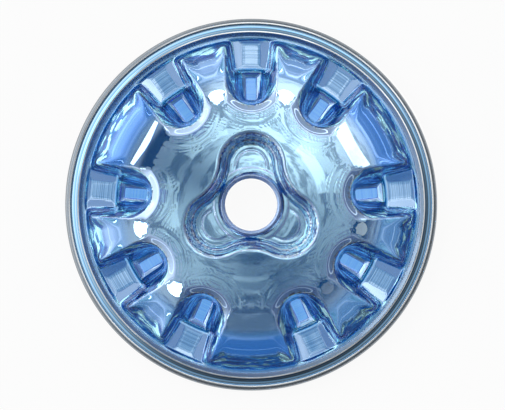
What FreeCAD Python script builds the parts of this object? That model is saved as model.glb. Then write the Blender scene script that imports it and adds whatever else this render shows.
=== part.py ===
"""Flying disc: a clear plate with nine finger pockets, a soft rim ring and a snapped hub eyelet.

Millimetres, +Z up. The origin is on the disc's axis, on the surface that the rim ring's foot rests on.
"""
import FreeCAD, Part
import math
import os

import Sketcher

doc = FreeCAD.newDocument("flying_disc")

# ---------------------------------------------------------------- driving dimensions
SIZES = [
    # overall
    ("disc_r", 135.0, "outer radius of the disc"),
    ("crown_z", 34.0, "height of the crown's apex on the axis"),
    ("flange_z", 11.0, "height of the top face of the plate's flange"),
    ("wall", 1.8, "wall of the plate"),
    # the plate's outer surface, turned about the axis
    ("crown_fall", 8.0, "fall of the crown from its apex to the shoulder"),
    ("fall_run", 38.7, "width of the ribs' fall, from the shoulder to the toe on the flange"),
    ("toe_gap", 3.6, "width of the flange that shows between the toe and the ring's lip"),
    # the nine finger pockets, in three groups of three
    ("group_turn", 90.0, "direction of the first group, degrees"),
    ("pocket_turn", 35.5, "angle between two pockets of a group, degrees"),
    ("pocket_reach", 31.7, "distance from the toe in to the centre of a pocket's round inner end"),
    ("shelf_end", 9.6, "radius of the round inner end at the shelf's floor"),
    ("shelf_depth", 2.5, "depth of the shelf's floor below the flange"),
    ("shelf_past", 0.3, "distance that the shelf's floor runs past the toe"),
    ("well_end", 7.2, "radius of the round inner end at the well's floor"),
    ("well_depth", 3.5, "depth of the well's floor below the shelf's"),
    ("shelf_run", 23.0, "length of the shelf beyond the well"),
    ("flare", 14.0, "angle that a pocket's side opens by, degrees"),
    ("pocket_draft", 20.0, "draft of the pockets' walls, degrees"),
    # the trefoil well round the hub
    ("hub_depth", 19.0, "depth of the trefoil well's floor below the crown's apex"),
    ("lobe_reach", 30.4, "radius of the lobes' centres"),
    ("lobe_r", 16.6, "radius of a lobe at the well's floor"),
    ("hub_draft", 13.0, "draft of the trefoil well's wall, degrees"),
    # the rim ring
    ("web", 6.95, "thickness of the ring outside the plate's edge"),
    ("lip_lap", 5.75, "width that the ring's lips lap over the plate"),
    ("lip_over", 2.0, "height of the upper lip's inner edge above the flange"),
    ("lip_under", 1.8, "thickness of the lower lip"),
    ("bead_in_x", 3.1, "distance from the lip's edge to the inner bead's crest"),
    ("bead_in_z", 3.6, "height of the inner bead's crest above the flange"),
    ("valley_in_x", 6.3, "distance from the lip's edge to the valley"),
    ("valley_z", 1.8, "height of the valley above the flange"),
    ("valley_out_x", 4.2, "distance from the ring's side to the valley"),
    ("bead_out_x", 2.8, "distance from the ring's side to the outer bead's crest"),
    ("bead_out_z", 4.2, "height of the outer bead's crest above the flange"),
    ("side_z", 1.6, "height above the flange where the ring's side turns in to the outer bead"),
    ("skirt_t", 4.1, "thickness of the skirt under the flange"),
    ("skirt_drop", 1.35, "fall of the lower lip's underside towards the skirt"),
    ("foot_bevel", 1.2, "width of the bevel outside the flat foot"),
    ("foot_w", 2.2, "width of the flat foot"),
    ("foot_rise", 1.6, "height of the bevels on both sides of the foot"),
    ("bead_round", 1.6, "rounding of the beads' crests"),
    ("ring_round", 0.6, "rounding of the ring's other corners"),
    # the hub eyelet
    ("bore_r", 18.8, "radius of the hole through the disc"),
    ("tube_t", 1.8, "wall of the eyelet's tube"),
    ("cap_lap", 3.0, "width that the upper flange laps over the plate"),
    ("cap_edge", 1.3, "thickness of the upper flange at its edge"),
    ("cap_mouth", 2.2, "height of the upper flange above the plate at the bore"),
    ("cap_crest_x", 2.4, "distance from the bore to the upper flange's crest"),
    ("cap_crest", 3.4, "height of the upper flange's crest above the plate"),
    ("cap_round", 2.0, "rounding of the upper flange's crest"),
    ("washer_lap", 3.4, "width that the washer laps over the plate"),
    ("washer_t", 1.7, "thickness of the washer"),
    ("washer_bevel", 0.6, "bevel of the washer's lower edge"),
    ("barb_out", 0.6, "distance that the barb stands out of the tube"),
    ("barb_t", 0.9, "height of the barb"),
    # fits
    ("seat_gap", 0.05, "clearance between pieces that seat on each other"),
    ("hole_gap", 0.4, "clearance between the tube and the hole in the plate"),
    ("washer_gap", 0.1, "clearance between the tube and the washer"),
    ("well_gap", 0.3, "clearance between the upper flange and the trefoil well's wall"),
    ("base_margin", 1.0, "depth of the plate's outer form below the floor, where the inner form cuts it"),
]

sheet = doc.addObject("Spreadsheet::Sheet", "sizes")
for row, (alias, value, note) in enumerate(SIZES, 1):
    sheet.set(f"A{row}", note)
    sheet.set(f"B{row}", str(value))
    sheet.setAlias(f"B{row}", alias)

# places that several pieces share, worked out from the dimensions above
PLACES = [
    ("plate_r", "disc_r - web - seat_gap", "radius of the plate's edge"),
    ("lip_r", "plate_r - lip_lap", "inner radius of the ring's lips"),
    ("toe_r", "lip_r - toe_gap", "radius where the ribs' fall meets the flange"),
    ("shoulder_r", "toe_r - fall_run", "radius where the crown turns into the ribs' fall"),
    ("crown_curve", "(shoulder_r ^ 2 + crown_fall ^ 2) / (2 * crown_fall)", "radius of the crown's curve"),
    ("pocket_c", "toe_r - pocket_reach", "radius of the centre of a pocket's round inner end"),
    ("shelf_z", "flange_z - shelf_depth", "height of the shelf's floor"),
    ("shelf_out", "toe_r + shelf_past", "radius of the pocket's outer end at the shelf's floor"),
    ("well_z", "shelf_z - well_depth", "height of the well's floor"),
    ("well_out", "shelf_out - shelf_run", "radius of the well's outer end at its floor"),
    ("hub_z", "crown_z - hub_depth", "height of the trefoil well's floor"),
    ("tube_r", "bore_r + tube_t", "outer radius of the eyelet's tube"),
    ("hub_hole_r", "tube_r + hole_gap", "radius of the hole through the plate"),
    ("cap_r", "hub_hole_r + cap_lap", "radius of the eyelet's upper flange"),
    ("waist_r", "cap_r + well_gap", "smallest radius of the trefoil well at its floor"),
    ("waist_curve", "(waist_r ^ 2 + lobe_reach ^ 2 - lobe_reach * waist_r - lobe_r ^ 2)"
                    " / (lobe_reach + 2 * lobe_r - 2 * waist_r)", "radius of the arcs that join the lobes"),
]
for row, (alias, formula, note) in enumerate(PLACES, len(SIZES) + 1):
    sheet.set(f"A{row}", note)
    sheet.set(f"B{row}", "=" + formula)
    sheet.setAlias(f"B{row}", alias)
    doc.recompute()
size = {alias: float(sheet.get(alias)) for alias, _, _ in SIZES + PLACES}

GROUPS = 3            # groups of finger pockets, and lobes of the hub well
CLEAR = 60.0          # height of a cut that runs upwards, enough to leave the plate
SAME = 1e-4           # two lengths closer than this are the same
UP = FreeCAD.Vector(0, 0, 1)


# ---------------------------------------------------------------- helpers for bodies and sketches
def evaluate(formula):
    """The value of a formula that names cells of the sheet."""
    return float(sheet.evalExpression(formula.replace("sizes.", "")))


def new_body(name):
    body = doc.addObject("PartDesign::Body", name)
    body.Label = name
    return body


def origin_plane(body, role):
    return [item for item in body.Origin.OriginFeatures if item.Role == role][0]


def new_sketch(body, name, role):
    sketch = body.newObject("Sketcher::SketchObject", name)
    sketch.AttachmentSupport = [(origin_plane(body, role), "")]
    sketch.MapMode = "FlatFace"
    return sketch


def tie(sketch, kind, where, value, formula):
    """Adds a dimension at its present value, and binds it to the sheet."""
    index = sketch.addConstraint(Sketcher.Constraint(kind, *where, value))
    sketch.setExpression(f"Constraints[{index}]", formula)


def place_point(sketch, where, x, y):
    """Ties a point to the sketch's axes. x and y are each a value and the formula that gives it."""
    for kind, axis, (value, formula) in (("DistanceX", -2, x), ("DistanceY", -1, y)):
        if formula == "0":
            sketch.addConstraint(Sketcher.Constraint("PointOnObject", *where, axis))
        else:
            tie(sketch, kind, (-1, 1) + where, value, formula)


def section(body, name, corners):
    """A closed outline of straight edges in the XZ plane. Each corner is (radius, height) as formulas."""
    sketch = new_sketch(body, name, "XZ_Plane")
    points = [FreeCAD.Vector(evaluate(r), evaluate(z), 0) for r, z in corners]
    for index, start in enumerate(points):
        sketch.addGeometry(Part.LineSegment(start, points[(index + 1) % len(points)]), False)
    for index in range(len(points)):
        sketch.addConstraint(Sketcher.Constraint("Coincident", index, 2, (index + 1) % len(points), 1))
    for index, (r, z) in enumerate(corners):
        place_point(sketch, (index, 1), (points[index].x, r), (points[index].y, z))
    return sketch


def turn(body, name, sketch):
    """A full revolution of a sketch about the disc's axis."""
    feature = body.newObject("PartDesign::Revolution", name)
    feature.Profile = sketch
    feature.ReferenceAxis = (sketch, ["V_Axis"])
    feature.Angle = 360.0
    return feature


# ---------------------------------------------------------------- flight plate
def dome_section(body, name, drop, base):
    """The dome's outline, from its axis to its edge. drop lowers its top, base is its lower edge's height."""
    low = evaluate(drop)
    crown, shoulder = size["crown_curve"], size["shoulder_r"]
    start_tilt = math.asin(shoulder / crown)
    crown_centre = FreeCAD.Vector(0, size["crown_z"] - low - crown, 0)
    shoulder_point = crown_centre + FreeCAD.Vector(math.sin(start_tilt), math.cos(start_tilt), 0) * crown
    toe = FreeCAD.Vector(size["toe_r"], size["flange_z"] - low, 0)
    chord = toe - shoulder_point
    half_turn = math.atan2(-chord.y, chord.x) - start_tilt
    end_tilt = start_tilt + 2 * half_turn
    fall_curve = chord.Length / (2 * math.sin(half_turn))
    fall_centre = toe - FreeCAD.Vector(math.sin(end_tilt), math.cos(end_tilt), 0) * fall_curve
    edge = FreeCAD.Vector(size["plate_r"], toe.y, 0)
    low_edge = FreeCAD.Vector(edge.x, evaluate(base), 0)
    low_axis = FreeCAD.Vector(0, low_edge.y, 0)

    sketch = new_sketch(body, name, "XZ_Plane")
    half = math.pi / 2
    crown_arc = sketch.addGeometry(Part.ArcOfCircle(
        Part.Circle(crown_centre, UP, crown), half - start_tilt, half), False)
    fall_arc = sketch.addGeometry(Part.ArcOfCircle(
        Part.Circle(fall_centre, UP, fall_curve), half - end_tilt, half - start_tilt), False)
    flange = sketch.addGeometry(Part.LineSegment(toe, edge), False)
    side = sketch.addGeometry(Part.LineSegment(edge, low_edge), False)
    bottom = sketch.addGeometry(Part.LineSegment(low_edge, low_axis), False)
    axis = sketch.addGeometry(Part.LineSegment(low_axis, crown_centre + FreeCAD.Vector(0, crown, 0)), False)
    for constraint in (
        ("PointOnObject", crown_arc, 3, -2),
        ("Tangent", crown_arc, 1, fall_arc, 2),
        ("Coincident", fall_arc, 1, flange, 1),
        ("Coincident", flange, 2, side, 1),
        ("Coincident", side, 2, bottom, 1),
        ("Coincident", bottom, 2, axis, 1),
        ("Coincident", axis, 2, crown_arc, 2),
        ("Horizontal", flange),
        ("Vertical", side),
        ("Horizontal", bottom),
        ("PointOnObject", axis, 1, -2),
        ("PointOnObject", axis, 2, -2),
    ):
        sketch.addConstraint(Sketcher.Constraint(*constraint))
    tie(sketch, "Radius", (crown_arc,), crown, "sizes.crown_curve")
    tie(sketch, "DistanceY", (-1, 1, axis, 2), size["crown_z"] - low, f"sizes.crown_z - ({drop})")
    tie(sketch, "DistanceX", (-1, 1, crown_arc, 1), shoulder, "sizes.shoulder_r")
    tie(sketch, "DistanceX", (-1, 1, flange, 1), toe.x, "sizes.toe_r")
    tie(sketch, "DistanceY", (-1, 1, flange, 2), toe.y, f"sizes.flange_z - ({drop})")
    tie(sketch, "DistanceX", (-1, 1, flange, 2), edge.x, "sizes.plate_r")
    tie(sketch, "DistanceY", (-1, 1, bottom, 1), low_edge.y, base)
    return sketch


def pocket_outline(body, name, turn_formula, floor, end, out):
    """A finger pocket's floor: a round inner end, two flared sides, an outer end about the disc's axis."""
    sketch = new_sketch(body, name, "XY_Plane")
    sketch.AttachmentOffset = FreeCAD.Placement(
        FreeCAD.Vector(0, 0, evaluate(floor)), FreeCAD.Rotation(UP, evaluate(turn_formula)))
    sketch.setExpression("AttachmentOffset.Base.z", floor)
    sketch.setExpression("AttachmentOffset.Rotation.Angle", turn_formula)
    end_r, out_r = evaluate(end), evaluate(out)
    flare = math.radians(size["flare"])
    centre = FreeCAD.Vector(size["pocket_c"], 0, 0)
    touch = centre + FreeCAD.Vector(-math.sin(flare), math.cos(flare), 0) * end_r
    along = FreeCAD.Vector(math.cos(flare), math.sin(flare), 0)
    reach = -touch.dot(along) + math.sqrt(touch.dot(along) ** 2 - touch.dot(touch) + out_r ** 2)
    corner = touch + along * reach
    low_touch = FreeCAD.Vector(touch.x, -touch.y, 0)
    low_corner = FreeCAD.Vector(corner.x, -corner.y, 0)
    corner_turn = math.atan2(corner.y, corner.x)

    inner = sketch.addGeometry(Part.ArcOfCircle(
        Part.Circle(centre, UP, end_r), math.pi / 2 + flare, 3 * math.pi / 2 - flare), False)
    low_side = sketch.addGeometry(Part.LineSegment(low_touch, low_corner), False)
    outer = sketch.addGeometry(Part.ArcOfCircle(
        Part.Circle(FreeCAD.Vector(0, 0, 0), UP, out_r), -corner_turn, corner_turn), False)
    high_side = sketch.addGeometry(Part.LineSegment(touch, corner), False)
    for constraint in (
        ("PointOnObject", inner, 3, -1),
        ("Tangent", inner, 1, high_side, 1),
        ("Tangent", inner, 2, low_side, 1),
        ("Coincident", outer, 3, -1, 1),
        ("Coincident", outer, 1, low_side, 2),
        ("Coincident", outer, 2, high_side, 2),
    ):
        sketch.addConstraint(Sketcher.Constraint(*constraint))
    tie(sketch, "DistanceX", (-1, 1, inner, 3), centre.x, "sizes.pocket_c")
    tie(sketch, "Radius", (inner,), end_r, end)
    tie(sketch, "Radius", (outer,), out_r, out)
    tie(sketch, "Angle", (high_side,), flare, "sizes.flare * 1 deg")
    tie(sketch, "Angle", (low_side,), -flare, "-sizes.flare * 1 deg")
    return sketch


def trefoil_outline(body, name, floor, lobe, waist):
    """The trefoil well's floor: a lobe in each group's direction, joined by arcs that bend the other way."""
    sketch = new_sketch(body, name, "XY_Plane")
    sketch.AttachmentOffset = FreeCAD.Placement(
        FreeCAD.Vector(0, 0, evaluate(floor)), FreeCAD.Rotation(UP, size["group_turn"]))
    sketch.setExpression("AttachmentOffset.Base.z", floor)
    sketch.setExpression("AttachmentOffset.Rotation.Angle", "sizes.group_turn")
    reach, lobe_r, waist_r = size["lobe_reach"], evaluate(lobe), evaluate(waist)
    sector = 2 * math.pi / GROUPS
    half_sector = sector / 2
    bend = reach * math.cos(half_sector) + math.sqrt(
        (lobe_r + waist_r) ** 2 - (reach * math.sin(half_sector)) ** 2)
    lobe_centre = FreeCAD.Vector(reach, 0, 0)
    waist_centre = FreeCAD.Vector(math.cos(half_sector), math.sin(half_sector), 0) * bend
    lean = math.atan2(waist_centre.y - lobe_centre.y, waist_centre.x - lobe_centre.x)
    lobes, waists = [], []
    for index in range(GROUPS):
        turned = FreeCAD.Rotation(UP, math.degrees(index * sector))
        lobes.append(sketch.addGeometry(Part.ArcOfCircle(
            Part.Circle(turned.multVec(lobe_centre), UP, lobe_r),
            index * sector - lean, index * sector + lean), False))
        back = index * sector + math.pi + lean
        waists.append(sketch.addGeometry(Part.ArcOfCircle(
            Part.Circle(turned.multVec(waist_centre), UP, waist_r),
            index * sector + sector - lean + math.pi, back), False))
    for index in range(GROUPS):
        following = (index + 1) % GROUPS
        sketch.addConstraint(Sketcher.Constraint("Tangent", lobes[index], 2, waists[index], 2))
        sketch.addConstraint(Sketcher.Constraint("Tangent", waists[index], 1, lobes[following], 1))
    for index in range(GROUPS):
        angle = index * 360.0 / GROUPS
        x = (reach * math.cos(math.radians(angle)), f"sizes.lobe_reach * cos({angle})")
        y = (reach * math.sin(math.radians(angle)), f"sizes.lobe_reach * sin({angle})")
        place_point(sketch, (lobes[index], 3), x, y if index else (0.0, "0"))
        tie(sketch, "Radius", (lobes[index],), lobe_r, lobe)
        tie(sketch, "Radius", (waists[index],), waist_r, waist)
    return sketch


def cut_up(body, name, sketch, draft):
    """Cuts a sketch's outline upwards out of the body, with walls that lean outwards by the draft."""
    feature = body.newObject("PartDesign::Pocket", name)
    feature.Profile = sketch
    feature.Reversed = True
    feature.Length = CLEAR
    feature.TaperAngle = evaluate(draft)
    feature.setExpression("TaperAngle", draft)
    return feature


def plate_form(name, drop, base, walls):
    """The solid dome with its pockets and trefoil well, down to base.

    drop lowers every face that looks up. The drafted faces are moved out by as many walls as walls says.
    """
    body = new_body(name)
    turn(body, name + "_dome", dome_section(body, name + "_section", drop, base))
    spread = {}
    for draft in ("sizes.pocket_draft", "sizes.hub_draft"):
        spread[draft] = f"{walls} * sizes.wall * (1 / cos({draft}) - tan({draft}))"
    by_pocket, by_hub = spread["sizes.pocket_draft"], spread["sizes.hub_draft"]
    cuts = []
    for side, word in enumerate(("right", "middle", "left"), -1):
        direction = f"sizes.group_turn + {side} * sizes.pocket_turn"
        for level in ("shelf", "well"):
            label = f"{name}_{word}_{level}"
            outline = pocket_outline(
                body, label + "_outline", direction, f"sizes.{level}_z - ({drop})",
                f"sizes.{level}_end + {by_pocket}", f"sizes.{level}_out + {by_pocket}")
            cuts.append(cut_up(body, label, outline, "sizes.pocket_draft"))
    pattern = body.newObject("PartDesign::PolarPattern", name + "_groups")
    pattern.Originals = cuts
    pattern.Axis = (origin_plane(body, "Z_Axis"), [""])
    pattern.Angle = 360.0
    pattern.Occurrences = GROUPS
    body.Tip = pattern
    outline = trefoil_outline(body, name + "_trefoil_outline", f"sizes.hub_z - ({drop})",
                              f"sizes.lobe_r + {by_hub}", f"sizes.waist_curve - ({by_hub})")
    cut_up(body, name + "_trefoil", outline, "sizes.hub_draft")
    return body


def hub_hole(body):
    sketch = new_sketch(body, "hub_hole_outline", "XY_Plane")
    circle = sketch.addGeometry(Part.Circle(
        FreeCAD.Vector(0, 0, 0), UP, size["hub_hole_r"]), False)
    sketch.addConstraint(Sketcher.Constraint("Coincident", circle, 3, -1, 1))
    tie(sketch, "Radius", (circle,), size["hub_hole_r"], "sizes.hub_hole_r")
    feature = body.newObject("PartDesign::Pocket", "hub_hole")
    feature.Profile = sketch
    feature.Reversed = True
    feature.Length = CLEAR


outside = plate_form("plate_outside", "0", "-sizes.base_margin", 0)
hub_hole(outside)
inside = plate_form("plate_inside", "sizes.wall", "-2 * sizes.base_margin", 1)
flight_plate = doc.addObject("Part::Cut", "flight_plate")
flight_plate.Label = "flight_plate"
flight_plate.Base = outside
flight_plate.Tool = inside


# ---------------------------------------------------------------- rim ring
def round_edges(body, name, radius, rings):
    """Rounds circular edges, each picked by the radius and height that it lies at."""
    doc.recompute()
    solid = body.Tip
    picked = []
    for ring_r, ring_z in rings:
        for index, edge in enumerate(solid.Shape.Edges, 1):
            curve = edge.Curve
            if not isinstance(curve, Part.Circle):
                continue
            if max(abs(curve.Radius - evaluate(ring_r)), abs(curve.Center.z - evaluate(ring_z))) < SAME:
                picked.append(f"Edge{index}")
    feature = body.newObject("PartDesign::Fillet", name)
    feature.Base = (solid, picked)
    feature.Radius = evaluate(radius)
    feature.setExpression("Radius", radius)
    return feature


def above_flange(height):
    return f"sizes.flange_z + sizes.{height}"


rim_ring = new_body("rim_ring")
UPPER_SEAT = above_flange("seat_gap")
LOWER_SEAT = "sizes.flange_z - sizes.wall - sizes.seat_gap"
LOWER_LIP = LOWER_SEAT + " - sizes.lip_under"
GROOVE = "sizes.plate_r + sizes.seat_gap"
SKIRT_IN = "sizes.disc_r - sizes.skirt_t"
FOOT_OUT = "sizes.disc_r - sizes.foot_bevel"
BEAD_IN = "sizes.lip_r + sizes.bead_in_x"
BEAD_OUT = "sizes.disc_r - sizes.bead_out_x"
turn(rim_ring, "ring_turned", section(rim_ring, "ring_section", [
    ("sizes.disc_r", "sizes.foot_rise"),
    ("sizes.disc_r", above_flange("side_z")),
    (BEAD_OUT, above_flange("bead_out_z")),
    ("sizes.disc_r - sizes.valley_out_x", above_flange("valley_z")),
    ("sizes.lip_r + sizes.valley_in_x", above_flange("valley_z")),
    (BEAD_IN, above_flange("bead_in_z")),
    ("sizes.lip_r", above_flange("lip_over")),
    ("sizes.lip_r", UPPER_SEAT),
    (GROOVE, UPPER_SEAT),
    (GROOVE, LOWER_SEAT),
    ("sizes.lip_r", LOWER_SEAT),
    ("sizes.lip_r", LOWER_LIP),
    (SKIRT_IN, LOWER_LIP + " - sizes.skirt_drop"),
    (SKIRT_IN, "sizes.foot_rise"),
    (FOOT_OUT + " - sizes.foot_w", "0"),
    (FOOT_OUT, "0"),
]))
round_edges(rim_ring, "ring_beads", "sizes.bead_round", [
    (BEAD_OUT, above_flange("bead_out_z")),
    (BEAD_IN, above_flange("bead_in_z")),
])
round_edges(rim_ring, "ring_corners", "sizes.ring_round", [
    ("sizes.disc_r", above_flange("side_z")),
    ("sizes.disc_r", "sizes.foot_rise"),
    (SKIRT_IN, "sizes.foot_rise"),
])

# ---------------------------------------------------------------- hub eyelet
PLATE_UNDER = "sizes.hub_z - sizes.wall"
WASHER_TOP = PLATE_UNDER + " - sizes.seat_gap"
WASHER_LOW = WASHER_TOP + " - sizes.washer_t"
BARB_TOP = WASHER_LOW + " - sizes.seat_gap"
CAP_SEAT = "sizes.hub_z + sizes.seat_gap"
CREST_R = "sizes.bore_r + sizes.cap_crest_x"
CREST_Z = CAP_SEAT + " + sizes.cap_crest"

eyelet_cap = new_body("eyelet_cap")
turn(eyelet_cap, "cap_turned", section(eyelet_cap, "cap_section", [
    ("sizes.bore_r", BARB_TOP + " - sizes.barb_t"),
    ("sizes.bore_r", CAP_SEAT + " + sizes.cap_mouth"),
    (CREST_R, CREST_Z),
    ("sizes.cap_r", CAP_SEAT + " + sizes.cap_edge"),
    ("sizes.cap_r", CAP_SEAT),
    ("sizes.tube_r", CAP_SEAT),
    ("sizes.tube_r", BARB_TOP),
    ("sizes.tube_r + sizes.barb_out", BARB_TOP),
    ("sizes.tube_r", BARB_TOP + " - sizes.barb_t"),
]))
round_edges(eyelet_cap, "cap_crest", "sizes.cap_round", [(CREST_R, CREST_Z)])

eyelet_washer = new_body("eyelet_washer")
WASHER_HOLE = "sizes.tube_r + sizes.washer_gap"
WASHER_EDGE = "sizes.hub_hole_r + sizes.washer_lap"
turn(eyelet_washer, "washer_turned", section(eyelet_washer, "washer_section", [
    (WASHER_HOLE, WASHER_LOW),
    (WASHER_HOLE, WASHER_TOP),
    (WASHER_EDGE, WASHER_TOP),
    (WASHER_EDGE, WASHER_LOW + " + sizes.washer_bevel"),
    (WASHER_EDGE + " - sizes.washer_bevel", WASHER_LOW),
]))

# ---------------------------------------------------------------- check and write
doc.recompute()
for item in doc.Objects:
    if "Invalid" in item.State or "Error" in item.State:
        raise RuntimeError(f"{item.Name} failed: {item.State}")

os.makedirs("parts", exist_ok=True)
for piece in (flight_plate, rim_ring, eyelet_cap, eyelet_washer):
    if piece.Shape.isNull() or not piece.Shape.isValid() or len(piece.Shape.Solids) != 1:
        raise RuntimeError(f"{piece.Label} has no sound solid")
    piece.Shape.exportStep(f"parts/{piece.Label}.step")
    print(piece.Label, round(piece.Shape.Volume), "mm3")
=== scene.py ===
"""A clear blue flying disc: moulded plate, soft rim ring and hub eyelet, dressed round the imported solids."""
import math

import bpy
import numpy as np
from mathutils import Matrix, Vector


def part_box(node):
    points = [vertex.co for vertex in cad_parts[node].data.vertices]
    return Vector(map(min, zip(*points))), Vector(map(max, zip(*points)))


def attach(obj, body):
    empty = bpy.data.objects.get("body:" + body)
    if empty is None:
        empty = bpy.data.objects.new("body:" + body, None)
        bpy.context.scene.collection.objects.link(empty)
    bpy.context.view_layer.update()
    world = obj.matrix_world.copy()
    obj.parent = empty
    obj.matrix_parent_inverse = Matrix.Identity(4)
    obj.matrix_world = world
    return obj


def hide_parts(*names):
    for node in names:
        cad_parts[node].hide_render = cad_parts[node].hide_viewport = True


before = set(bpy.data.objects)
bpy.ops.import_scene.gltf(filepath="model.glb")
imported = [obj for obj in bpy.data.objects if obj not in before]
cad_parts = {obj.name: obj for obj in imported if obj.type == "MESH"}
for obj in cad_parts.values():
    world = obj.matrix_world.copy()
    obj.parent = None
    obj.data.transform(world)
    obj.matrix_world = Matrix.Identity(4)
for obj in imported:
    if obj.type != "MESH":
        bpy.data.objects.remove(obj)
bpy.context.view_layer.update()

# ------------------------------------------------------------------ flight plate
# One injection-moulded shell of clear blue polycarbonate: a low crown, ribs that fall to a flat flange, nine
# finger pockets and a three-lobed well round the hub. Every edge is rounded, as the mould leaves it.
MM = 0.001
PLATE_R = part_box("flight_plate")[1].x / MM
WALL = 1.8
HUB_HOLE_R = 21.0
FLANGE_Z = 11.0
CROWN_Z = 34.0
CROWN_FALL = 8.0
TOE_R = PLATE_R - 9.35
TOE_BLEND = 1.5
SHOULDER_R = TOE_R - 38.7
FALL_END = TOE_R + 1.4
GROUPS = (90.0, 210.0, 330.0)
GROUP_ANGLE = 360.0 / len(GROUPS)
POCKET_TURNS = (-35.5, 0.0, 35.5)


def soft_min(a, b, blend):
    """The lower of two heights, with the corner between them rounded over the given height."""
    share = np.clip(0.5 + 0.5 * (b - a) / blend, 0.0, 1.0)
    return b * (1.0 - share) + a * share - blend * share * (1.0 - share)


def soft_max(a, b, blend):
    """The higher of two heights, rounded in the same way."""
    return -soft_min(-a, -b, blend)


def ease(start, end, x):
    """0 before start, 1 after end, and a soft curve between them."""
    t = np.clip((x - start) / (end - start), 0.0, 1.0)
    return t * t * (3.0 - 2.0 * t)


def dome(r):
    """Height of the plain dome: a crown arc, then a fall that steepens towards the flange."""
    arc_r = (SHOULDER_R ** 2 + CROWN_FALL ** 2) / (2.0 * CROWN_FALL)
    crown = CROWN_Z - arc_r + np.sqrt(arc_r ** 2 - np.minimum(r, SHOULDER_R) ** 2)
    tilt = SHOULDER_R / math.sqrt(arc_r ** 2 - SHOULDER_R ** 2)
    run = FALL_END - SHOULDER_R
    share = np.maximum(r - SHOULDER_R, 0.0) / run
    steepening = CROWN_Z - CROWN_FALL - FLANGE_Z - tilt * run
    return soft_max(crown - tilt * run * share - steepening * share ** 5, FLANGE_Z, TOE_BLEND)


# A pocket has a deep inner well and a shallower shelf, with a crease between them. The floor of each is a
# flat window with sloping facets round it. Where a pair of values is given, the first is the well's.
WELL_IN = TOE_R - 43.4
CREASE = TOE_R - 21.0
CREASE_BLEND = 1.4
POCKET_OUT = TOE_R + 0.7
FLOOR_Z = (5.0, 8.5)
WINDOW_HALF_WIDTH = (3.9, 5.8)
WINDOW_HALF_LENGTH = (9.2, 7.5)
WINDOW_MIDDLE = (CREASE - 14.4, CREASE + 11.4)
FACET_SLOPE = (0.45, 0.16)
WINDOW_CORNER, FACET_BLEND = 1.0, 0.2
WELL_FOOT, WELL_FLARE = 6.4, 0.06
SHELF_STEP, SHELF_FLARE = 3.6, 0.09
FOOT_CORNER, FOOT_BLEND = 5.0, 0.8
WALL_BOW = 1.5
OUT_RISE = 2.0
LIP_MIDDLE, LIP_R, LIP_FLARE = TOE_R - 29.4, 17.6, math.radians(2.5)
LIP_SAG, LIP_SAG_DEPTH = 1.2, 8.0
LIP_SAG_INSIDE, LIP_SAG_END, LIP_SAG_SIDE = 2.0, 6.5, 2.0
SIDE_START, SIDE_FULL = LIP_MIDDLE - 15.0, LIP_MIDDLE - 5.0
CUT_IN, CUT_ASIDE = 40.0, 45.0


def lip_line(u, v):
    """Distance outside a pocket's lip: a round inner end whose sides flare towards the rim."""
    past_middle = u - LIP_MIDDLE
    beside = past_middle * math.cos(LIP_FLARE) + v * math.sin(LIP_FLARE) > 0.0
    side = v * math.cos(LIP_FLARE) - past_middle * math.sin(LIP_FLARE) - LIP_R
    return np.where(beside, side, np.hypot(past_middle, v) - LIP_R)


def pocket(u, v, rib):
    """Height of one finger pocket, u along its radius and v across it, where rib is the height round it."""
    r = np.hypot(u, v)
    on_shelf = ease(CREASE - CREASE_BLEND, CREASE + CREASE_BLEND, r)

    def here(pair):
        return pair[0] + (pair[1] - pair[0]) * on_shelf

    past_end = np.abs(r - here(WINDOW_MIDDLE)) - here(WINDOW_HALF_LENGTH)
    past_window = soft_max(v - here(WINDOW_HALF_WIDTH), past_end, WINDOW_CORNER)
    floor = here(FLOOR_Z) + soft_max(past_window * here(FACET_SLOPE), 0.0, FACET_BLEND)
    foot = WELL_FOOT + WELL_FLARE * (u - WELL_IN) + on_shelf * (SHELF_STEP + SHELF_FLARE * (u - CREASE))
    inwards = np.maximum(WELL_IN + FOOT_CORNER - u, 0.0)
    sideways = np.maximum(v - foot + FOOT_CORNER, 0.0)
    past_foot = soft_max(np.hypot(inwards, sideways) - FOOT_CORNER, 0.0, FOOT_BLEND)
    past_lip = lip_line(u, v)
    up = np.clip(past_foot / np.maximum(past_foot - past_lip, 0.1), 0.0, 1.0)
    share = np.maximum(1.0 - (1.0 - up) ** WALL_BOW, ease(0.0, OUT_RISE, r - POCKET_OUT))
    sag_end = LIP_SAG_END + (LIP_SAG_SIDE - LIP_SAG_END) * ease(SIDE_START, SIDE_FULL, u)
    sag = LIP_SAG * (1.0 - ease(-LIP_SAG_INSIDE, sag_end, past_lip)) * ease(0.0, LIP_SAG_DEPTH, rib - floor)
    return np.where((u < CUT_IN) | (v > CUT_ASIDE), rib, floor + (rib - sag - floor) * share)


# The hub's well has a boss round the hole and three lobes. Where a pair of distances is given, here and for the
# ribs, a change starts at the first and is complete at the second.
LOBE_REACH, LOBE_R, WAIST_R = 28.8, 15.8, 24.3
HUB_Z = 15.0
HUB_SLOPE = 3.6
BOSS_RISE, BOSS_EDGE = 0.5, (25.8, 28.2)
DISH, DISH_FALL = 1.0, (30.0, 46.0)
GROOVE, GROOVE_IN, GROOVE_WIDTH, GROOVE_START = 0.35, 4.5, 0.9, (27.0, 31.0)
LEDGE_RISE, LEDGE_SLOPE, LEDGE_SET = 5.0, 0.3, 1.5
LEDGE_BLEND, HUB_FOOT_BLEND, HUB_LIP_BLEND = 1.2, 2.0, 3.2
HUB_LIP_SAG, HUB_LIP_FADE = 2.0, (3.5, 9.5)


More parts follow.
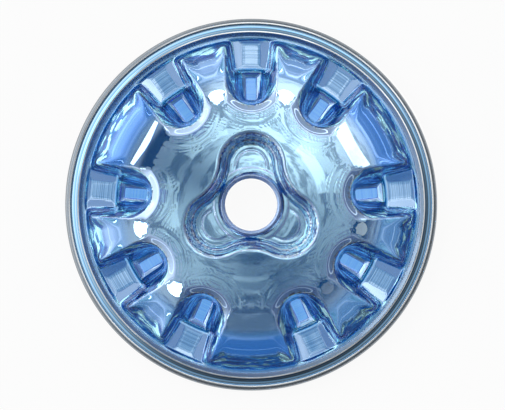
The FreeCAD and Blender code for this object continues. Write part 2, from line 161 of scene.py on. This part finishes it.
def trefoil(x, y):
    """Distance outside the foot of the hub well's wall, whose lobes lie in the groups' directions."""
    bend_r = (WAIST_R ** 2 + LOBE_REACH ** 2 - LOBE_REACH * WAIST_R - LOBE_R ** 2) / (
        LOBE_REACH + 2.0 * LOBE_R - 2.0 * WAIST_R)
    third = math.radians(GROUP_ANGLE)
    turn = (np.arctan2(y, x) - math.radians(GROUPS[0]) + third / 2.0) % third - third / 2.0
    r = np.hypot(x, y)
    along, across = r * np.cos(turn), np.abs(r * np.sin(turn))
    bend_x = (WAIST_R + bend_r) * math.cos(third / 2.0)
    bend_y = (WAIST_R + bend_r) * math.sin(third / 2.0)
    lobe = np.hypot(along - LOBE_REACH, across) - LOBE_R
    bend = bend_r - np.hypot(along - bend_x, across - bend_y)
    return np.where((bend_x - LOBE_REACH) * across > bend_y * (along - LOBE_REACH), bend, lobe)


def hub_well(r, past_foot):
    """Height of the hub's well: a dished floor with a boss and a groove, and a wall with one ledge."""
    floor = HUB_Z - BOSS_RISE * ease(*BOSS_EDGE, r) - DISH * ease(*DISH_FALL, r)
    floor = floor - GROOVE * np.exp(-((past_foot + GROOVE_IN) / GROOVE_WIDTH) ** 2) * ease(*GROOVE_START, r)
    ledge = soft_min(past_foot * HUB_SLOPE, LEDGE_RISE + LEDGE_SLOPE * past_foot, LEDGE_BLEND)
    wall = soft_max(ledge, (past_foot - LEDGE_SET) * HUB_SLOPE, LEDGE_BLEND)
    return soft_max(floor, HUB_Z + wall, HUB_FOOT_BLEND)


# Each rib keeps a raised end between the pockets, and faint ripples run round the pockets' inner ends.
RIDGE, RIDGE_FADE = 6.0, (0.5, 10.0)
RIDGE_START, RIDGE_END = (96.0, 112.0), (TOE_R - 3.0, TOE_R + 1.2)
RIPPLE, RIPPLE_LENGTH = 0.024, 3.4
WAVER, WAVER_TURN = 0.9, 0.75
RIPPLE_START, RIPPLE_FADE = (3.0, 6.0), (10.0, 22.0)
RIPPLE_INNER, RIPPLE_OUTER = (47.0, 55.0), (72.0, 78.0)
FAR_AWAY = 99.0


def plate_height(x, y):
    """Height of the plate's upper surface, in millimetres: the ribs, less the pockets and the hub's well."""
    r = np.hypot(x, y)
    pockets = []
    for group in GROUPS:
        for turn in POCKET_TURNS:
            a = math.radians(group + turn)
            u = x * math.cos(a) + y * math.sin(a)
            v = np.abs(y * math.cos(a) - x * math.sin(a))
            pockets.append((u, v))
    closest = np.min([np.where(u > CUT_IN, lip_line(u, v), FAR_AWAY) for u, v in pockets], axis=0)
    ridge = RIDGE * (1.0 - ease(*RIDGE_FADE, closest)) * ease(*RIDGE_START, r) * (1.0 - ease(*RIDGE_END, r))
    phase = 2.0 * math.pi / RIPPLE_LENGTH * (closest + WAVER * np.sin(WAVER_TURN * closest))
    ripple = RIPPLE * np.sin(phase) * ease(*RIPPLE_START, closest) * (1.0 - ease(*RIPPLE_FADE, closest))
    ripple = ripple * ease(*RIPPLE_INNER, r) * (1.0 - ease(*RIPPLE_OUTER, r))
    height = rib = dome(r - ridge) + ripple
    for u, v in pockets:
        height = np.minimum(height, pocket(u, v, rib))
    past_foot = trefoil(x, y)
    height = height - HUB_LIP_SAG * (1.0 - ease(*HUB_LIP_FADE, past_foot))
    return soft_min(height, hub_well(r, past_foot), HUB_LIP_BLEND)


def plate_normal(x, y, step=0.05):
    """The way the plate's upper surface faces."""
    slope_x = (plate_height(x + step, y) - plate_height(x - step, y)) / (2.0 * step)
    slope_y = (plate_height(x, y + step) - plate_height(x, y - step)) / (2.0 * step)
    normal = np.stack([-slope_x, -slope_y, np.ones_like(slope_x)], -1)
    return normal / np.linalg.norm(normal, axis=-1, keepdims=True)


def new_piece(name, points, faces, normals=None):
    """A smooth piece from points in metres."""
    mesh = bpy.data.meshes.new(name)
    mesh.from_pydata(points.tolist(), [], faces)
    mesh.polygons.foreach_set("use_smooth", [True] * len(mesh.polygons))
    mesh.update()
    if normals is not None:
        mesh.normals_split_custom_set_from_vertices(normals.tolist())
    piece = bpy.data.objects.new(name, mesh)
    bpy.context.collection.objects.link(piece)
    return piece


def polar_sheet(radii, angles):
    """Grid points round the axis, ring by ring, and the faces between them, seen from above."""
    r, t = np.meshgrid(radii, angles, indexing="ij")
    index = np.arange(r.size).reshape(r.shape)
    after = np.roll(index, -1, axis=1)
    quads = np.stack([index[:-1], index[1:], after[1:], after[:-1]], -1).reshape(-1, 4)
    return r * np.cos(t), r * np.sin(t), quads


def spread(low, high, count, crowd):
    """Values from low to high that lie closer together where crowd, a function of the value, is larger."""
    fine = np.linspace(low, high, 4000)
    share = np.concatenate([[0.0], np.cumsum(crowd(0.5 * (fine[1:] + fine[:-1])))])
    return np.interp(np.linspace(0.0, share[-1], count), share, fine)


def near_walls(angle):
    """More mesh beside the pockets' walls, and least on the wide ribs."""
    half = GROUP_ANGLE / 2.0
    within = (np.degrees(angle) - GROUPS[0] + half) % GROUP_ANGLE - half
    nearest = np.min([np.abs(within - turn) for turn in POCKET_TURNS], axis=0)
    return 1.0 + 1.3 * (nearest < 13.0)


def near_wells(r):
    """More mesh across the pockets and the hub's well than on the crown between them."""
    return 1.0 + 0.7 * (r > 68.0) * (r < 122.0) + 0.5 * (r < 52.0)


TURNS, TOP_RINGS, LOW_RINGS = 504, 128, 66
angles = spread(0.0, 2.0 * math.pi, TURNS + 1, near_walls)[:-1]
top_x, top_y, top_faces = polar_sheet(spread(HUB_HOLE_R, PLATE_R, TOP_RINGS, near_wells), angles)
low_x, low_y, low_faces = polar_sheet(spread(HUB_HOLE_R, PLATE_R, LOW_RINGS, near_wells), angles)
top_normal = plate_normal(top_x, top_y)
low_normal = plate_normal(low_x, low_y)
top_points = np.stack([top_x, top_y, plate_height(top_x, top_y)], -1)
low_points = np.stack([low_x, low_y, plate_height(low_x, low_y)], -1) - WALL * low_normal
first_low = TOP_RINGS * TURNS
faces = top_faces.tolist() + (low_faces[:, ::-1] + first_low).tolist()
for top_ring, low_ring, inward in ((0, 0, True), (TOP_RINGS - 1, LOW_RINGS - 1, False)):
    upper = top_ring * TURNS + np.arange(TURNS)
    lower = first_low + low_ring * TURNS + np.arange(TURNS)
    edge = np.stack([upper, np.roll(upper, -1), np.roll(lower, -1), lower], -1)
    faces += (edge if inward else edge[:, ::-1]).tolist()
points = np.concatenate([top_points.reshape(-1, 3), low_points.reshape(-1, 3)]) * MM
normals = np.concatenate([top_normal.reshape(-1, 3), -low_normal.reshape(-1, 3)])
plate = new_piece("flight_plate_shell", points, faces, normals)
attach(plate, "root")
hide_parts("flight_plate")


class Shade:
    """One socket of a material. Sums and products of values add Math nodes; node() adds any other node."""

    def __init__(self, tree, socket=None):
        self.tree, self.socket = tree, socket

    def node(self, kind, settings=None, inputs=None, output=0):
        """A new node, from its type, its settings and the values or links of its sockets."""
        made = self.tree.nodes.new(kind)
        for key, value in (settings or {}).items():
            setattr(made, key, value)
        for key, value in (inputs or {}).items():
            if isinstance(value, Shade):
                self.tree.links.new(value.socket, made.inputs[key])
            else:
                made.inputs[key].default_value = value
        return Shade(self.tree, made.outputs[output])

    def beside(self, output):
        """Another output of the node that this socket is on."""
        return Shade(self.tree, self.socket.node.outputs[output])

    def _math(self, operation, *values):
        return self.node("ShaderNodeMath", {"operation": operation}, dict(enumerate(values)))

    def __add__(self, other):
        return self._math("ADD", self, other)

    def __mul__(self, other):
        return self._math("MULTIPLY", self, other)

    def __sub__(self, other):
        return self._math("SUBTRACT", self, other)

    def __rsub__(self, other):
        return self._math("SUBTRACT", other, self)

    def __abs__(self):
        return self._math("ABSOLUTE", self)

    __radd__ = __add__
    __rmul__ = __mul__

    def at_most(self, limit):
        """This value, or the limit where that is lower."""
        return self._math("MINIMUM", self, limit)

    def at_least(self, limit):
        """This value, or the limit where that is higher."""
        return self._math("MAXIMUM", self, limit)

    def mix(self, low, high):
        """A colour between low and high, by this value."""
        return self.node("ShaderNodeMix", {"data_type": "RGBA"}, {0: self, 6: low, 7: high}, 2)

    def step(self, start, end):
        """0 below start, 1 above end, and a soft curve between them."""
        return self.node("ShaderNodeMapRange", {"interpolation_type": "SMOOTHSTEP"},
                         {"Value": self, "From Min": start, "From Max": end})

    def parts(self):
        """The x, y and z of a vector."""
        x = self.node("ShaderNodeSeparateXYZ", None, {0: self})
        return x, x.beside("Y"), x.beside("Z")


def vector(x, y, z=0.0):
    """A vector from three values, the first of which is a Shade."""
    return x.node("ShaderNodeCombineXYZ", None, {0: x, 1: y, 2: z})


def clouds(at, scale, detail, roughness=0.5):
    """A cloudy value from 0 to 1 that changes with the vector given."""
    return at.node("ShaderNodeTexNoise", None, {
        "Vector": at, "Scale": scale, "Detail": detail, "Roughness": roughness})


def clear_plastic(name, tint, strength):
    """A see-through moulding, coloured by its depth. Returns the material, its surface and its normal."""
    material = bpy.data.materials.new(name)
    material.use_nodes = True
    tree = material.node_tree
    surface = tree.nodes["Principled BSDF"]
    surface.inputs["Transmission Weight"].default_value = 1.0
    surface.inputs["Roughness"].default_value = 0.0
    surface.inputs["IOR"].default_value = 1.58
    surface.inputs["Coat Weight"].default_value = 1.0
    surface.inputs["Coat Roughness"].default_value = 0.0
    normal = Shade(tree).node("ShaderNodeNewGeometry", output="Normal")
    depth = normal.node("ShaderNodeVolumeAbsorption", None, {"Color": (*tint, 1.0), "Density": strength})
    tree.links.new(depth.socket, tree.nodes["Material Output"].inputs["Volume"])
    return material, surface, normal


def join(surface, **inputs):
    """Links Shades to the surface's sockets, whose names are given with _ for each space."""
    for key, value in inputs.items():
        value.tree.links.new(value.socket, surface.inputs[key.replace("_", " ")])


def steepness(normal):
    """0 on level surfaces and 1 on upright ones."""
    return 1.0 - abs(normal.parts()[2])


def from_axis(x, y):
    """Distance from the disc's axis, in millimetres."""
    level = vector(x, y)
    return level.node("ShaderNodeVectorMath", {"operation": "LENGTH"}, {0: level}, "Value") * (1.0 / MM)


def wide_ribs(x, y, radius):
    """1 on the three ribs that part the groups of pockets."""
    ribs = []
    for group in GROUPS:
        a = math.radians(group + GROUP_ANGLE / 2.0)
        ribs.append(((x * math.cos(a) + y * math.sin(a)) * (1.0 / MM) - radius * 0.96).step(0.0, 1.0))
    return sum(ribs)


CROWN_BLUE, SLOPE_BLUE = (0.60, 0.94, 0.98, 1.0), (0.66, 0.84, 0.97, 1.0)
WALL_SHADE_BLUE, DEEP_SHADE_BLUE = (0.0, 0.28, 0.56, 1.0), (0.0, 0.15, 0.44, 1.0)
STREAK_HIGHLIGHT_BLUE, THREAD_SHADE_BLUE = (0.45, 0.86, 1.0, 1.0), (0.0, 0.08, 0.27, 1.0)
RIB_SHADE_BLUE, GLINT_WHITE, CREASE_HIGHLIGHT = (0.22, 0.54, 0.92, 1.0), (0.80, 0.97, 1.0, 1.0), (1.0, 1.0, 1.0, 1.0)
WELL_FACET_SHADE, SHELF_FACET_REFLECTION = (0.14, 0.34, 0.80, 1.0), (0.66, 0.84, 0.86, 1.0)
WELL_WINDOW_LIGHT, SHELF_WINDOW_LIGHT = (0.72, 0.86, 1.0, 1.0), (0.78, 0.92, 0.96, 1.0)
WELL_GRAIN, SHELF_GRAIN = (0.58, 0.76, 1.0, 1.0), (0.40, 0.54, 0.62, 1.0)

blue, plate_surface, plate_facing = clear_plastic("blue_polycarbonate", (0.03, 0.60, 0.97), 840.0)
place = plate_facing.node("ShaderNodeTexCoord", output="Object")
plate_x, plate_y, plate_z = place.parts()
radius = from_axis(plate_x, plate_y)
steep = steepness(plate_facing)
slope, wall, deep_shade = steep.step(0.010, 0.03), steep.step(0.06, 0.13), steep.step(0.25, 0.5)

# Flow lines lie level along every wall. Bright streaks in them are painted highlights and dark threads are
# painted shade, standing for reflections in the walls as well as for the flow lines.
lines = clouds(vector(plate_x * 70.0, plate_y * 70.0, plate_z * 560.0), 1.0, 3.0)
flow_streak_highlight, flow_thread_shade = lines.step(0.52, 0.56) * wall, 1.0 - lines.step(0.42, 0.47)
# By steepness the plastic is painted cyan on the crown, lilac-blue on the slopes and deeper blue on the walls:
# painted reflection, and painted shade for light's long path through the walls.
colour = slope.mix(CROWN_BLUE, SLOPE_BLUE)
colour = wall.mix(colour, WALL_SHADE_BLUE)
colour = deep_shade.mix(colour, DEEP_SHADE_BLUE)
colour = flow_streak_highlight.mix(colour, STREAK_HIGHLIGHT_BLUE)
colour = (flow_thread_shade * wall * 0.8).mix(colour, THREAD_SHADE_BLUE)

# The wide ribs are painted a deeper blue low down, as painted shade, and the hub well's wall has bright
# flecks, which are painted glints.
low_rib_shade = wide_ribs(plate_x, plate_y, radius) * radius.step(92.0, 100.0) * (1.0 - wall)
colour = low_rib_shade.mix(colour, RIB_SHADE_BLUE)
on_hub = radius.step(38.0, 41.0) - radius.step(53.0, 55.0)
# Painted glints: bright flecks on the hub well's wall, which also lift the sheen.
glint_flecks = clouds(place, 560.0, 1.0).step(0.50, 0.53) * wall * on_hub
colour = glint_flecks.mix(colour, GLINT_WHITE)

# The pockets' floors have facets and flat windows with a brushed grain. The windows are painted pale, as
# painted light from the floor seen through them, and the facets darker blue in the wells and grey on the
# shelves, as painted shade and reflection. A white painted highlight runs along the crease.
low = 1.0 - plate_z.step(0.0105, 0.0115)
shelf = plate_z.step(0.0081, 0.0084)
window, facet = low * (1.0 - steep.step(0.003, 0.010)), low * (1.0 - steep.step(0.03, 0.06))
# A painted highlight: a white line along the crease, where the sheen is taken away.
crease_highlight = low * (radius.step(98.4, 98.7) - radius.step(99.9, 100.2))
grain = clouds(vector(radius * 1.4, plate_x * 8.0, plate_y * 8.0), 1.0, 2.0).step(0.42, 0.58)
colour = facet.mix(colour, shelf.mix(WELL_FACET_SHADE, SHELF_FACET_REFLECTION))
colour = window.mix(colour, grain.mix(shelf.mix(WELL_WINDOW_LIGHT, SHELF_WINDOW_LIGHT), shelf.mix(WELL_GRAIN, SHELF_GRAIN)))
colour = crease_highlight.mix(colour, CREASE_HIGHLIGHT)

# A mirror-like sheen stands for light that the shell turns back inside itself. The wells' windows have none.
metal = 0.63 - 0.34 * radius.step(88.0, 98.0) * (1.0 - wall) - 0.36 * wall + 0.62 * flow_streak_highlight + 0.35 * glint_flecks
metal = metal * (1.0 - 0.45 * facet) * (1.0 - window * (1.0 - 0.6 * shelf)) * (1.0 - crease_highlight)
metal = metal + 0.24 * (facet * shelf)
bumps = plate_facing.node("ShaderNodeBump", None, {
    "Height": lines * wall, "Strength": 0.8, "Distance": 0.0006})
join(plate_surface, Base_Color=colour, Metallic=metal, Normal=bumps)
plate.data.materials.append(blue)

# ------------------------------------------------------------------ rim ring
# A soft clear ring overmoulded on the plate's flange: a lip above and below, two beads with a valley between
# them on top, and a skirt that ends in a narrow flat foot.
RING_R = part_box("rim_ring")[1].x / MM
RING_LIP_R = RING_R - 12.75
GROOVE_R = RING_R - 6.95
GROOVE_LOW, GROOVE_HIGH = 9.15, 11.05
SKIRT_IN_R = RING_R - 4.1
OUTER_BEAD_Z, VALLEY_Z, INNER_BEAD_Z = 14.5, 12.5, 14.3


def rounded(corners, segments=6):
    """A closed section as (r, z) points. Each corner is given as r, z and its rounding radius."""
    outline = []
    for i, (r, z, rounding) in enumerate(corners):
        corner = np.array((r, z))
        if rounding == 0.0:
            outline.append(corner)
            continue
        back = np.array(corners[i - 1][:2]) - corner
        ahead = np.array(corners[(i + 1) % len(corners)][:2]) - corner
        back_length, ahead_length = np.linalg.norm(back), np.linalg.norm(ahead)
        back, ahead = back / back_length, ahead / ahead_length
        half = math.acos(float(np.clip(back @ ahead, -1.0, 1.0))) / 2.0
        reach = min(rounding / math.tan(half), 0.48 * back_length, 0.48 * ahead_length)
        centre = corner + (back + ahead) / np.linalg.norm(back + ahead) * reach / math.cos(half)
        start, end = corner + back * reach - centre, corner + ahead * reach - centre
        first = math.atan2(start[1], start[0])
        sweep = (math.atan2(end[1], end[0]) - first + math.pi) % (2.0 * math.pi) - math.pi
        for k in range(segments + 1):
            a = first + sweep * k / segments
            outline.append(centre + reach * math.tan(half) * np.array((math.cos(a), math.sin(a))))
    return np.array(outline)


def turned(name, corners, turns=360):
    """A closed section turned about the axis into a smooth solid."""
    outline = rounded(corners)
    turn = np.arange(turns) * 2.0 * math.pi / turns
    r, z = outline[:, 0], outline[:, 1]
    points = np.stack([np.outer(np.cos(turn), r), np.outer(np.sin(turn), r), np.outer(np.ones(turns), z)], -1)
    index = np.arange(turns * len(outline)).reshape(turns, len(outline))
    after, beside = np.roll(index, -1, axis=0), np.roll(index, -1, axis=1)
    quads = np.stack([index, after, np.roll(after, -1, axis=1), beside], -1).reshape(-1, 4)
    return new_piece(name, points.reshape(-1, 3) * MM, quads.tolist())


ring = turned("rim_ring_moulding", [
    (RING_R, 1.6, 1.2), (RING_R, 12.2, 1.2),
    (RING_R - 2.6, OUTER_BEAD_Z, 0.5), (RING_R - 3.7, OUTER_BEAD_Z, 0.3),
    (RING_R - 4.3, VALLEY_Z, 0.5),
    (RING_R - 9.0, INNER_BEAD_Z, 0.8), (RING_R - 9.9, INNER_BEAD_Z, 0.8),
    (RING_LIP_R, 13.0, 0.5), (RING_LIP_R, GROOVE_HIGH, 0.3),
    (GROOVE_R, GROOVE_HIGH, 0.0), (GROOVE_R, GROOVE_LOW, 0.0),
    (RING_LIP_R, GROOVE_LOW, 0.3), (RING_LIP_R, 7.35, 0.5),
    (SKIRT_IN_R, 6.0, 0.6), (SKIRT_IN_R, 1.6, 0.6),
    (RING_R - 3.4, 0.0, 0.3), (RING_R - 1.2, 0.0, 0.4)])
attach(ring, "root")
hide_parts("rim_ring")

# Lines ring the ring's top in painted tones: the white ones are painted highlights and the dark ones
# painted shade, and the inner lip is painted pale as a highlight. Each row is where a tone starts, where
# it is full, and the tone.
LIP_HIGHLIGHT, BEAD_BLUE = (0.80, 0.92, 1.0, 1.0), (0.44, 0.68, 0.90, 1.0)
RING_HIGHLIGHT_AND_SHADE_LINES = (
    (125.1, 125.3, (1.0, 1.0, 1.0)), (125.9, 126.1, (0.22, 0.44, 0.66)),
    (127.0, 127.2, (0.48, 0.68, 0.86)), (127.6, 127.8, (0.18, 0.38, 0.60)),
    (129.2, 129.4, (0.42, 0.60, 0.80)), (129.8, 130.0, (0.14, 0.30, 0.48)),
    (131.0, 131.1, (1.0, 1.0, 1.0)), (132.2, 132.3, (0.26, 0.30, 0.35)),
    (133.2, 133.4, (0.50, 0.54, 0.58)), (134.2, 134.4, (0.26, 0.29, 0.32)))
soft_clear, ring_surface, ring_facing = clear_plastic("clear_soft_rim", (0.5, 0.75, 0.93), 60.0)
ring_x, ring_y, ring_z = ring_facing.node("ShaderNodeTexCoord", output="Object").parts()
ring_radius = from_axis(ring_x, ring_y)
ring_colour = ring_radius.step(122.7, 123.0).mix(LIP_HIGHLIGHT, BEAD_BLUE)
for start, end, tone in RING_HIGHLIGHT_AND_SHADE_LINES:
    ring_colour = ring_radius.step(start, end).mix(ring_colour, (*tone, 1.0))
# The ring's top is mirror-like, a painted sheen standing for its reflections.
ring_mirror_sheen = (0.20 + 0.70 * ring_radius.step(125.0, 125.3)) * ring_z.step(0.0113, 0.0120)
join(ring_surface, Base_Color=ring_colour, Metallic=ring_mirror_sheen)
ring.data.materials.append(soft_clear)

# ------------------------------------------------------------------ hub eyelet
# A clear two-part eyelet that lines the hole in the hub: a flanged tube pushed in from above, and a washer
# held under the plate by the tube's barb.
BORE_R, TUBE_R, BARB_R, CAP_R = 18.8, 20.6, 21.2, 24.0
WASHER_IN_R, WASHER_OUT_R, WASHER_LOW, WASHER_HIGH = 20.7, 24.4, 11.45, 13.15
cap = turned("eyelet_cap_moulding", [
    (BORE_R, 10.5, 0.2), (BORE_R, 17.25, 0.8), (21.2, 18.45, 2.0), (CAP_R, 16.35, 0.6), (CAP_R, 15.05, 0.2),
    (TUBE_R, 15.05, 0.0), (TUBE_R, 11.4, 0.0), (BARB_R, 11.4, 0.1), (TUBE_R, 10.5, 0.1)])
washer = turned("eyelet_washer_moulding", [
    (WASHER_IN_R, WASHER_LOW, 0.1), (WASHER_IN_R, WASHER_HIGH, 0.1), (WASHER_OUT_R, WASHER_HIGH, 0.2),
    (WASHER_OUT_R, 12.05, 0.2), (23.8, WASHER_LOW, 0.2)])
# The eyelet is painted paler on top and darker on its upright sides, as painted shade, and is half mirror-like,
# as a painted sheen.
EYELET_TOP_LIT_BLUE, EYELET_SIDE_SHADE_BLUE = (0.42, 0.58, 0.86, 1.0), (0.16, 0.30, 0.60, 1.0)
clear, eyelet_surface, eyelet_facing = clear_plastic("clear_eyelet_plastic", (0.5, 0.72, 0.93), 120.0)
eyelet_colour = steepness(eyelet_facing).step(0.2, 0.7).mix(EYELET_TOP_LIT_BLUE, EYELET_SIDE_SHADE_BLUE)
join(eyelet_surface, Base_Color=eyelet_colour)
eyelet_surface.inputs["Metallic"].default_value = 0.5
for piece, node in ((cap, "eyelet_cap"), (washer, "eyelet_washer")):
    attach(piece, "root")
    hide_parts(node)
    piece.data.materials.append(clear)

# ------------------------------------------------------------------ floor
# A wide white floor a hair below the disc. Seen directly, in a reflection or through the plastic it glows
# white, and the little paint left takes the lamps' light, so that the disc keeps a soft shadow.
FLOOR_SIZE, FLOOR_Z = 8.0, -0.0002
FLOOR_GLOW = 0.93
bpy.ops.mesh.primitive_plane_add(size=FLOOR_SIZE, location=(0.0, 0.0, FLOOR_Z))
floor = bpy.context.object
floor.name = "floor"
floor_paint = bpy.data.materials.new("white_floor")
floor_paint.use_nodes = True
floor_paint.node_tree.nodes.clear()
direct = Shade(floor_paint.node_tree).node("ShaderNodeLightPath", output="Is Camera Ray")
seen = (direct + direct.beside("Is Glossy Ray") + direct.beside("Is Transmission Ray")).at_most(1.0)
matt = seen.node("ShaderNodeBsdfDiffuse", None, {"Color": (0.85, 0.85, 0.85, 1.0)})
white_glow = seen.node("ShaderNodeEmission", None, {"Color": (1.0, 1.0, 1.0, 1.0), "Strength": 1.0})
floor_face = seen.node("ShaderNodeMixShader", None, {0: seen * FLOOR_GLOW, 1: matt, 2: white_glow})
floor_out = floor_paint.node_tree.nodes.new("ShaderNodeOutputMaterial")
floor_paint.node_tree.links.new(floor_face.socket, floor_out.inputs["Surface"])
floor.data.materials.append(floor_paint)

# ------------------------------------------------------------------ room
# A studio room, bright overhead to the north and dim to the south, with strips, window panes and dark cards
# that the plastic reflects. Its parts lie at heights from 0, level with the disc, to 1, straight above it.
LOW, MIDDLE, HIGH, ROOM_BLEND = 0.05, 0.42, 0.80, 0.10
world = bpy.data.worlds.new("studio")
bpy.context.scene.world = world
world.use_nodes = True
world.node_tree.nodes.clear()
way = Shade(world.node_tree).node("ShaderNodeTexCoord", output="Generated")
way_x, way_y, up = way.parts()
level_way = vector(way_x, way_y)
east, north, _ = level_way.node("ShaderNodeVectorMath", {"operation": "NORMALIZE"}, {0: level_way}).parts()


def facing(compass):
    """How far a direction faces a compass bearing, from 0 to 1. North is +Y."""
    a = math.radians(compass)
    return (math.sin(a) * east + math.cos(a) * north).at_least(0.0)


def beam(compass):
    """How far a direction faces a bearing, falling off faster than facing()."""
    towards = facing(compass)
    return towards * towards


def band(height, half_width):
    """1 at one height of the room, falling to 0 at half_width above and below it."""
    return up.step(height - half_width, height) * (1.0 - up.step(height, height + half_width))


def between(low, high, blend):
    """1 between two heights of the room, each with its blend above it."""
    return up.step(low, low + blend) - up.step(high, high + blend)


side = 1.08 * beam(15.0) + 0.30 * facing(95.0) + 0.45 * beam(240.0)
low_side = 0.7 * side + 2.6 * beam(290.0)
mottle = clouds(vector(east * 1.5, north * 1.5, up * 80.0), 1.0, 4.0, 0.65).step(0.42, 0.55)
crown = up.step(0.984, 0.990)
overhead = up.step(HIGH, HIGH + ROOM_BLEND) * side * (1.0 - crown) + crown * (0.25 + 0.70 * side)
overhead = overhead * (0.55 + 0.9 * mottle)
middle = between(MIDDLE, HIGH, ROOM_BLEND) * (0.02 + 0.6 * low_side)
walls = between(LOW, MIDDLE, ROOM_BLEND) * (0.10 + 0.7 * low_side)
skirting = (1.0 - up.step(LOW, LOW + ROOM_BLEND)) * (0.14 + 0.30 * low_side)

STRIPS = ((0.38, 0.03, 2.5), (0.62, 0.02, 1.5), (0.76, 0.015, 1.5), (0.87, 0.01, 1.0))
strips = sum(glow * band(height, half_width) for height, half_width, glow in STRIPS) * (0.15 + side)
panes = 0.22 * facing(180.0).step(0.965, 0.975) * sum(band(height, 0.006) for height in (0.955, 0.938, 0.918))
panes = panes + 0.6 * facing(60.0).step(0.93, 0.94) * between(0.948, 0.962, 0.002)
for compass in (270.0, 325.0):
    panes = panes + 0.35 * facing(compass).step(0.95, 0.96) * between(0.930, 0.955, 0.002)
panes = panes + 1.2 * facing(300.0).step(0.93, 0.96) * band(0.70, 0.05)
cards = facing(300.0).step(0.965, 0.972) * between(0.898, 0.908, 0.002)
for compass in (102.5, 137.5):
    cards = cards + 1.8 * facing(compass).step(0.990, 0.997) * band(0.906, 0.012)
room_light = overhead * (1.0 - cards.at_most(1.0)) + middle + walls + strips + panes + skirting
room_light = room_light.at_least(way.node("ShaderNodeLightPath", output="Is Camera Ray"))
grey = way.node("ShaderNodeCombineColor", None, {0: room_light * 0.97, 1: room_light * 0.99, 2: room_light})
background = way.node("ShaderNodeBackground", None, {"Color": grey, "Strength": 1.0})
room_out = world.node_tree.nodes.new("ShaderNodeOutputWorld")
world.node_tree.links.new(background.socket, room_out.inputs["Surface"])

# ------------------------------------------------------------------ lamps
# Soft lamps in a ring above the disc, where the ribs' shoulders mirror them, so that each leaves one bright
# patch on a rib. The two to the south-east are brown and dim, and the one to the south is faintly green.
LAMP_DISTANCE = 1.5
WHITE, GREEN, BROWN = (1.0, 1.0, 1.0), (0.85, 1.0, 0.95), (1.0, 0.86, 0.70)
LAMPS = (
    ("north_east", 60.0, 28.1, 0.29, 0.035, 1.5, WHITE, "RECTANGLE"),
    ("north_left", -17.5, 27.9, 0.13, 0.036, 3.5, WHITE, "ELLIPSE"),
    ("north_right", 17.5, 27.9, 0.13, 0.036, 3.5, WHITE, "ELLIPSE"),
    ("west_low", 222.0, 27.9, 0.13, 0.036, 3.5, WHITE, "ELLIPSE"),
    ("west", 258.0, 27.9, 0.13, 0.036, 3.5, WHITE, "ELLIPSE"),
    ("north_west", 300.0, 28.9, 0.29, 0.018, 2.5, WHITE, "RECTANGLE"),
    ("east", 102.5, 27.9, 0.10, 0.032, 0.42, BROWN, "ELLIPSE"),
    ("south_east", 137.5, 27.9, 0.10, 0.032, 0.16, BROWN, "ELLIPSE"),
    ("south", 180.0, 28.4, 0.27, 0.05, 0.07, GREEN, "RECTANGLE"))


def hang_lamp(name, compass, from_zenith, width, height, brightness, colour, shape):
    """A flat lamp that faces the disc, placed by compass bearing and angle from the zenith."""
    lamp = bpy.data.lights.new(name, "AREA")
    lamp.shape = shape
    lamp.size, lamp.size_y = width, height
    lamp.energy = brightness * math.pi * width * height
    lamp.color = colour
    holder = bpy.data.objects.new(name, lamp)
    bpy.context.collection.objects.link(holder)
    a, b = math.radians(compass), math.radians(from_zenith)
    aim = Vector((math.sin(a) * math.sin(b), math.cos(a) * math.sin(b), math.cos(b)))
    holder.location = LAMP_DISTANCE * aim
    holder.rotation_euler = (-holder.location).to_track_quat("-Z", "Y").to_euler()


for lamp in LAMPS:
    hang_lamp(*lamp)

# ------------------------------------------------------------------ camera
# Straight above the disc, far enough away for its walls to show little. The frame is about a third wider than
# the disc, at half the disc's height.
CAMERA_Z, FRAME_Z = 1.6, 0.017
FRAME_WIDTH = 2.0 * RING_R * MM * 1.3532
eye = bpy.data.cameras.new("eye")
camera = bpy.data.objects.new("eye", eye)
bpy.context.collection.objects.link(camera)
camera.location = (0.0, 0.0, CAMERA_Z)
eye.sensor_width = 36.0
eye.lens = eye.sensor_width * (CAMERA_Z - FRAME_Z) / FRAME_WIDTH
eye.shift_x = 0.0026
eye.shift_y = -0.0006
bpy.context.scene.camera = camera
bpy.context.scene.view_settings.view_transform = "Standard"
bpy.context.scene.cycles.max_bounces = 16
bpy.context.scene.cycles.transmission_bounces = 16
bpy.context.scene.cycles.glossy_bounces = 8
